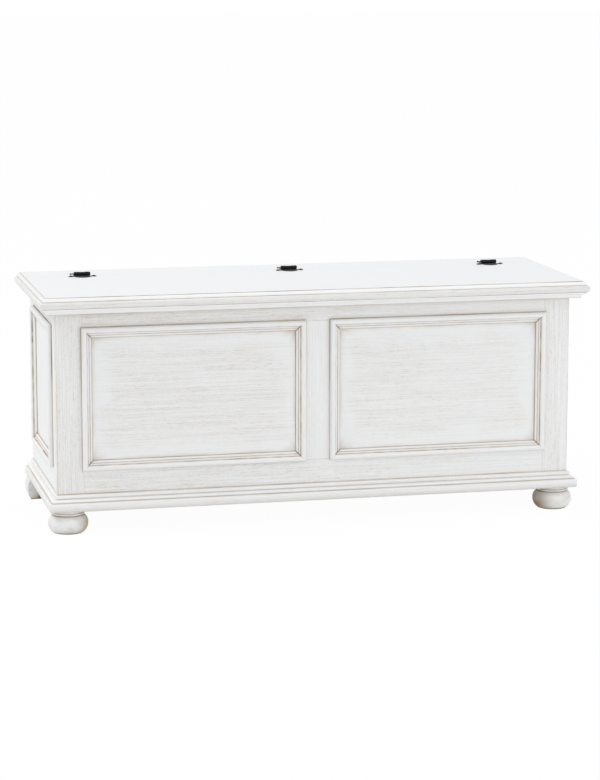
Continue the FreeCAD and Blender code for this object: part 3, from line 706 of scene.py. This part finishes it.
def dress_back_and_floor():
    """The painted boards of the back, and the bare pine inside."""
    dress("base_back", plain_paint, "X")
    for place in ("low", "middle", "high"):
        dress("back_board_" + place, plain_paint, "X")
    dress("floor_boards", bare_pine, "Y")
    dress("floor_cleat_front", bare_pine, "X")
    dress("floor_cleat_rear", bare_pine, "X")
    dress("foot_dowels", bare_pine, "Z")


def dress_hinges():
    """All pieces of the hinges, in one iron."""
    iron = black_iron()
    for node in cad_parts:
        if node.startswith("hinge"):
            cover(node, iron)


# Light, floor and camera, in metres, watts and degrees
LIT_POINT = (0.0, 0.0, 0.3)
KEY_PLACE = (-7.7, -0.8, 10.5)
KEY_SIZE = (7.0, 7.0)
KEY_POWER = 566.0
FILL_PLACE = (5.0, -5.0, 0.9)
FILL_SIZE = (6.0, 2.4)
FILL_POWER = 103.0
SKY_STRENGTH = 0.75
FLOOR_REACH = 30.0
FLOOR_WHITE_SHARE = 0.97

# The photograph's view, with the lens and the shift in pixels of a photograph this high
PHOTO_HEIGHT = 780.0
LENS_PIXELS = 2630.3
SHIFT_PIXELS = -9.2
FILM_HEIGHT = 36.0
CAMERA_TURN = 13.05
CAMERA_TILT = 9.98
CAMERA_TARGET = (0.0074, 0.0165, 0.2736)
CAMERA_DISTANCE = 5.847
CAMERA_REACH = 100.0


def place_in_scene(made, place, direction):
    """Put a lamp or camera at a place, looking in a direction."""
    made.location = place
    made.rotation_mode = "QUATERNION"
    made.rotation_quaternion = direction.to_track_quat("-Z", "Y")
    bpy.context.scene.collection.objects.link(made)


def lamp(name, place, size, power):
    """A rectangular soft light that faces the chest."""
    light = bpy.data.lights.new(name, "AREA")
    light.shape = "RECTANGLE"
    light.size, light.size_y = size
    light.energy = power
    made = bpy.data.objects.new(name, light)
    made.visible_camera = False
    place_in_scene(made, place, Vector(LIT_POINT) - Vector(place))


def white_where_seen(finish, shader, share):
    """Show plain white in place of a share of a shader, to the camera, in reflections and through glass."""
    seen = strongest(*(
        finish.node("ShaderNodeLightPath", {}, {}, ray)
        for ray in ("Is Camera Ray", "Is Glossy Ray", "Is Transmission Ray")))
    kind = "ShaderNodeBackground" if shader.socket.node.type == "BACKGROUND" else "ShaderNodeEmission"
    white = finish.node(kind, {}, {"Color": opaque(WHITE), "Strength": 1.0})
    return finish.node("ShaderNodeMixShader", {}, {0: seen * share, 1: shader, 2: white})


def set_floor():
    """A pale floor that keeps the chest's soft shadow."""
    corners = [(-1, -1), (1, -1), (1, 1), (-1, 1)]
    mesh = bpy.data.meshes.new("floor")
    mesh.from_pydata([(FLOOR_REACH * x, FLOOR_REACH * y, 0) for x, y in corners], [], [(0, 1, 2, 3)])
    floor = bpy.data.objects.new("floor", mesh)
    bpy.context.scene.collection.objects.link(floor)
    finish = Finish("floor_white")
    matt = finish.node("ShaderNodeBsdfDiffuse", {}, {"Color": opaque(FLOOR_GREY)})
    shown = white_where_seen(finish, matt, FLOOR_WHITE_SHARE)
    finish.node("ShaderNodeOutputMaterial", {}, {"Surface": shown})
    mesh.materials.append(finish.material)


def set_surround():
    """Even soft light from all round, seen as white."""
    surround = Finish("surround", bpy.data.worlds)
    air = surround.node("ShaderNodeBackground", {}, {"Color": opaque(SKY), "Strength": SKY_STRENGTH})
    shown = white_where_seen(surround, air, 1.0)
    surround.node("ShaderNodeOutputWorld", {}, {"Surface": shown})
    bpy.context.scene.world = surround.material


def set_camera():
    """The photograph's view of the chest."""
    turn, tilt = math.radians(CAMERA_TURN), math.radians(CAMERA_TILT)
    ahead = Vector((math.sin(turn) * math.cos(tilt), math.cos(turn) * math.cos(tilt), -math.sin(tilt)))
    lens = bpy.data.cameras.new("camera")
    lens.sensor_width = FILM_HEIGHT
    lens.lens = FILM_HEIGHT * LENS_PIXELS / PHOTO_HEIGHT
    lens.shift_y = SHIFT_PIXELS / PHOTO_HEIGHT
    lens.clip_end = CAMERA_REACH
    camera = bpy.data.objects.new("camera", lens)
    place_in_scene(camera, Vector(CAMERA_TARGET) - ahead * CAMERA_DISTANCE, ahead)
    bpy.context.scene.camera = camera


dress_sides()
dress_front_middle()
dress_runs()
dress_top()
dress_back_and_floor()
dress_hinges()
set_floor()
set_surround()
lamp("key", KEY_PLACE, KEY_SIZE, KEY_POWER)
lamp("front_fill", FILL_PLACE, FILL_SIZE, FILL_POWER)
set_camera()
bpy.context.scene.view_settings.view_transform = "Standard"
